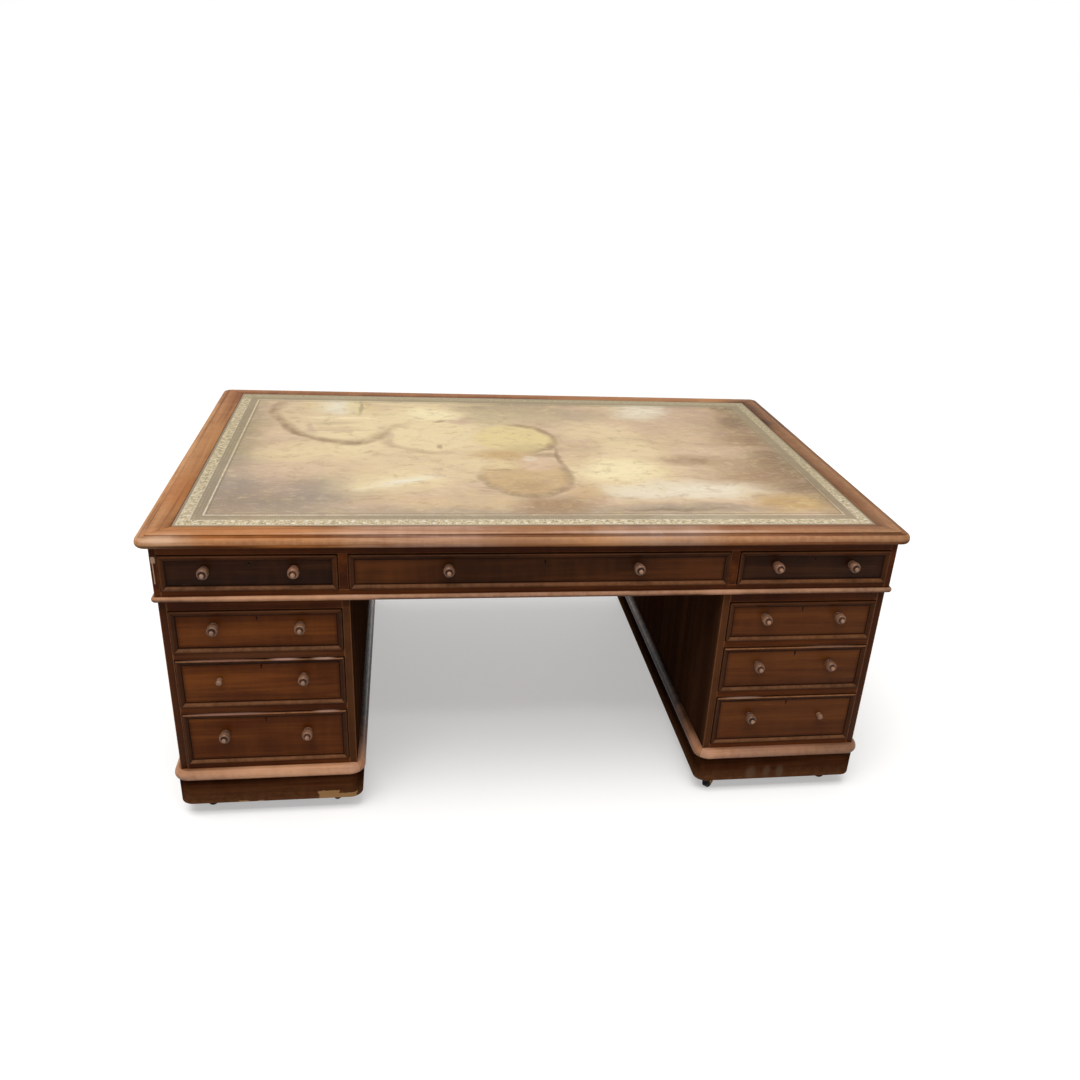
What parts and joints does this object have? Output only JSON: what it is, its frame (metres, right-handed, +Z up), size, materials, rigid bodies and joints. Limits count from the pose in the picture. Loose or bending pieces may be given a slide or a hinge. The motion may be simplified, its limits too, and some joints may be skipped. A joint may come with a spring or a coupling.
{
  "type": "partners desk",
  "caption": "Mahogany pedestal desk for two sitters: leather-lined top, drawers in the frieze and pedestals, cupboards behind, plinths on castors.",
  "frame": {"origin": "on the floor under the middle of the desk", "axes": "+X to the right along the front with its three banks of drawers, +Y from that front to the cupboard side, +Z up"},
  "size_m": [1.83, 1.304, 0.778],
  "materials": {
    "mahogany": "polished, worn",
    "inner_wood": "bare oak and pine, smooth",
    "leather": "worn skiver, satin",
    "brass": "dull, tarnished"
  },
  "bodies": {
    "carcass": {"top_frame": "mahogany", "top_panel": "inner_wood", "leather_skiver": "leather", "frieze_ends": "mahogany", "frieze_rails": "mahogany", "frieze_dividers": "inner_wood", "frieze_dustboards": "inner_wood", "frieze_bead": "mahogany", "left_pedestal_sides": "mahogany", "left_pedestal_frame": "mahogany", "left_plinth": "mahogany", "right_pedestal_sides": "mahogany", "right_pedestal_frame": "mahogany", "right_plinth": "mahogany", "castor_plates": "brass", "door_frame_hinges": "brass"},
    "front_left_frieze_drawer": {"front_left_frieze_drawer_front": "mahogany", "front_left_frieze_drawer_lining": "inner_wood"},
    "front_centre_frieze_drawer": {"front_centre_frieze_drawer_front": "mahogany", "front_centre_frieze_drawer_lining": "inner_wood"},
    "front_right_frieze_drawer": {"front_right_frieze_drawer_front": "mahogany", "front_right_frieze_drawer_lining": "inner_wood"},
    "back_left_frieze_drawer": {"back_left_frieze_drawer_front": "mahogany", "back_left_frieze_drawer_lining": "inner_wood"},
    "back_centre_frieze_drawer": {"back_centre_frieze_drawer_front": "mahogany", "back_centre_frieze_drawer_lining": "inner_wood"},
    "back_right_frieze_drawer": {"back_right_frieze_drawer_front": "mahogany", "back_right_frieze_drawer_lining": "inner_wood"},
    "left_top_drawer": {"left_top_drawer_front": "mahogany", "left_top_drawer_lining": "inner_wood"},
    "left_middle_drawer": {"left_middle_drawer_front": "mahogany", "left_middle_drawer_lining": "inner_wood"},
    "left_bottom_drawer": {"left_bottom_drawer_front": "mahogany", "left_bottom_drawer_lining": "inner_wood"},
    "right_top_drawer": {"right_top_drawer_front": "mahogany", "right_top_drawer_lining": "inner_wood"},
    "right_middle_drawer": {"right_middle_drawer_front": "mahogany", "right_middle_drawer_lining": "inner_wood"},
    "right_bottom_drawer": {"right_bottom_drawer_front": "mahogany", "right_bottom_drawer_lining": "inner_wood"},
    "left_door": {"left_door": "mahogany", "left_door_hinges": "brass"},
    "right_door": {"right_door": "mahogany", "right_door_hinges": "brass"},
    "left_front_outer_castor_fork": {"left_front_outer_castor_fork": "brass"},
    "left_front_outer_castor_wheel": {"left_front_outer_castor_wheel": "brass"},
    "left_front_inner_castor_fork": {"left_front_inner_castor_fork": "brass"},
    "left_front_inner_castor_wheel": {"left_front_inner_castor_wheel": "brass"},
    "left_back_outer_castor_fork": {"left_back_outer_castor_fork": "brass"},
    "left_back_outer_castor_wheel": {"left_back_outer_castor_wheel": "brass"},
    "left_back_inner_castor_fork": {"left_back_inner_castor_fork": "brass"},
    "left_back_inner_castor_wheel": {"left_back_inner_castor_wheel": "brass"},
    "right_front_outer_castor_fork": {"right_front_outer_castor_fork": "brass"},
    "right_front_outer_castor_wheel": {"right_front_outer_castor_wheel": "brass"},
    "right_front_inner_castor_fork": {"right_front_inner_castor_fork": "brass"},
    "right_front_inner_castor_wheel": {"right_front_inner_castor_wheel": "brass"},
    "right_back_outer_castor_fork": {"right_back_outer_castor_fork": "brass"},
    "right_back_outer_castor_wheel": {"right_back_outer_castor_wheel": "brass"},
    "right_back_inner_castor_fork": {"right_back_inner_castor_fork": "brass"},
    "right_back_inner_castor_wheel": {"right_back_inner_castor_wheel": "brass"}
  },
  "joints": [
    {"name": "front_left_frieze_drawer_slide", "type": "slide", "parent": "carcass", "child": "front_left_frieze_drawer", "axis": [0, -1, 0], "range_m": [0, 0.4]},
    {"name": "front_centre_frieze_drawer_slide", "type": "slide", "parent": "carcass", "child": "front_centre_frieze_drawer", "axis": [0, -1, 0], "range_m": [0, 0.4]},
    {"name": "front_right_frieze_drawer_slide", "type": "slide", "parent": "carcass", "child": "front_right_frieze_drawer", "axis": [0, -1, 0], "range_m": [0, 0.4]},
    {"name": "back_left_frieze_drawer_slide", "type": "slide", "parent": "carcass", "child": "back_left_frieze_drawer", "axis": [0, 1, 0], "range_m": [0, 0.4]},
    {"name": "back_centre_frieze_drawer_slide", "type": "slide", "parent": "carcass", "child": "back_centre_frieze_drawer", "axis": [0, 1, 0], "range_m": [0, 0.4]},
    {"name": "back_right_frieze_drawer_slide", "type": "slide", "parent": "carcass", "child": "back_right_frieze_drawer", "axis": [0, 1, 0], "range_m": [0, 0.4]},
    {"name": "left_top_drawer_slide", "type": "slide", "parent": "carcass", "child": "left_top_drawer", "axis": [0, -1, 0], "range_m": [0, 0.4]},
    {"name": "left_middle_drawer_slide", "type": "slide", "parent": "carcass", "child": "left_middle_drawer", "axis": [0, -1, 0], "range_m": [0, 0.4]},
    {"name": "left_bottom_drawer_slide", "type": "slide", "parent": "carcass", "child": "left_bottom_drawer", "axis": [0, -1, 0], "range_m": [0, 0.4]},
    {"name": "right_top_drawer_slide", "type": "slide", "parent": "carcass", "child": "right_top_drawer", "axis": [0, -1, 0], "range_m": [0, 0.4]},
    {"name": "right_middle_drawer_slide", "type": "slide", "parent": "carcass", "child": "right_middle_drawer", "axis": [0, -1, 0], "range_m": [0, 0.4]},
    {"name": "right_bottom_drawer_slide", "type": "slide", "parent": "carcass", "child": "right_bottom_drawer", "axis": [0, -1, 0], "range_m": [0, 0.4]},
    {"name": "left_door_hinge", "type": "hinge", "parent": "carcass", "child": "left_door", "pos_m": [-0.8657, 0.608, 0.3715], "axis": [0, 0, 1], "range_deg": [0, 170]},
    {"name": "right_door_hinge", "type": "hinge", "parent": "carcass", "child": "right_door", "pos_m": [0.8657, 0.608, 0.3715], "axis": [0, 0, -1], "range_deg": [0, 170]},
    {"name": "left_front_outer_castor_swivel", "type": "hinge", "parent": "carcass", "child": "left_front_outer_castor_fork", "pos_m": [-0.838, -0.569, 0.058], "axis": [0, 0, 1], "continuous": true},
    {"name": "left_front_outer_castor_roll", "type": "hinge", "parent": "left_front_outer_castor_fork", "child": "left_front_outer_castor_wheel", "pos_m": [-0.82669, -0.55769, 0.019], "axis": [-0.7071, 0.7071, 0], "continuous": true},
    {"name": "left_front_inner_castor_swivel", "type": "hinge", "parent": "carcass", "child": "left_front_inner_castor_fork", "pos_m": [-0.504, -0.569, 0.058], "axis": [0, 0, 1], "continuous": true},
    {"name": "left_front_inner_castor_roll", "type": "hinge", "parent": "left_front_inner_castor_fork", "child": "left_front_inner_castor_wheel", "pos_m": [-0.51531, -0.55769, 0.019], "axis": [-0.7071, -0.7071, 0], "continuous": true},
    {"name": "left_back_outer_castor_swivel", "type": "hinge", "parent": "carcass", "child": "left_back_outer_castor_fork", "pos_m": [-0.838, 0.569, 0.058], "axis": [0, 0, 1], "continuous": true},
    {"name": "left_back_outer_castor_roll", "type": "hinge", "parent": "left_back_outer_castor_fork", "child": "left_back_outer_castor_wheel", "pos_m": [-0.84931, 0.58031, 0.019], "axis": [-0.7071, -0.7071, 0], "continuous": true},
    {"name": "left_back_inner_castor_swivel", "type": "hinge", "parent": "carcass", "child": "left_back_inner_castor_fork", "pos_m": [-0.504, 0.569, 0.058], "axis": [0, 0, 1], "continuous": true},
    {"name": "left_back_inner_castor_roll", "type": "hinge", "parent": "left_back_inner_castor_fork", "child": "left_back_inner_castor_wheel", "pos_m": [-0.49269, 0.58031, 0.019], "axis": [-0.7071, 0.7071, 0], "continuous": true},
    {"name": "right_front_outer_castor_swivel", "type": "hinge", "parent": "carcass", "child": "right_front_outer_castor_fork", "pos_m": [0.838, -0.569, 0.058], "axis": [0, 0, 1], "continuous": true},
    {"name": "right_front_outer_castor_roll", "type": "hinge", "parent": "right_front_outer_castor_fork", "child": "right_front_outer_castor_wheel", "pos_m": [0.82669, -0.55769, 0.019], "axis": [-0.7071, -0.7071, 0], "continuous": true},
    {"name": "right_front_inner_castor_swivel", "type": "hinge", "parent": "carcass", "child": "right_front_inner_castor_fork", "pos_m": [0.504, -0.569, 0.058], "axis": [0, 0, 1], "continuous": true},
    {"name": "right_front_inner_castor_roll", "type": "hinge", "parent": "right_front_inner_castor_fork", "child": "right_front_inner_castor_wheel", "pos_m": [0.49269, -0.58031, 0.019], "axis": [0.7071, -0.7071, 0], "continuous": true},
    {"name": "right_back_outer_castor_swivel", "type": "hinge", "parent": "carcass", "child": "right_back_outer_castor_fork", "pos_m": [0.838, 0.569, 0.058], "axis": [0, 0, 1], "continuous": true},
    {"name": "right_back_outer_castor_roll", "type": "hinge", "parent": "right_back_outer_castor_fork", "child": "right_back_outer_castor_wheel", "pos_m": [0.84931, 0.58031, 0.019], "axis": [-0.7071, 0.7071, 0], "continuous": true},
    {"name": "right_back_inner_castor_swivel", "type": "hinge", "parent": "carcass", "child": "right_back_inner_castor_fork", "pos_m": [0.504, 0.569, 0.058], "axis": [0, 0, 1], "continuous": true},
    {"name": "right_back_inner_castor_roll", "type": "hinge", "parent": "right_back_inner_castor_fork", "child": "right_back_inner_castor_wheel", "pos_m": [0.49269, 0.58031, 0.019], "axis": [-0.7071, -0.7071, 0], "continuous": true}
  ]
}
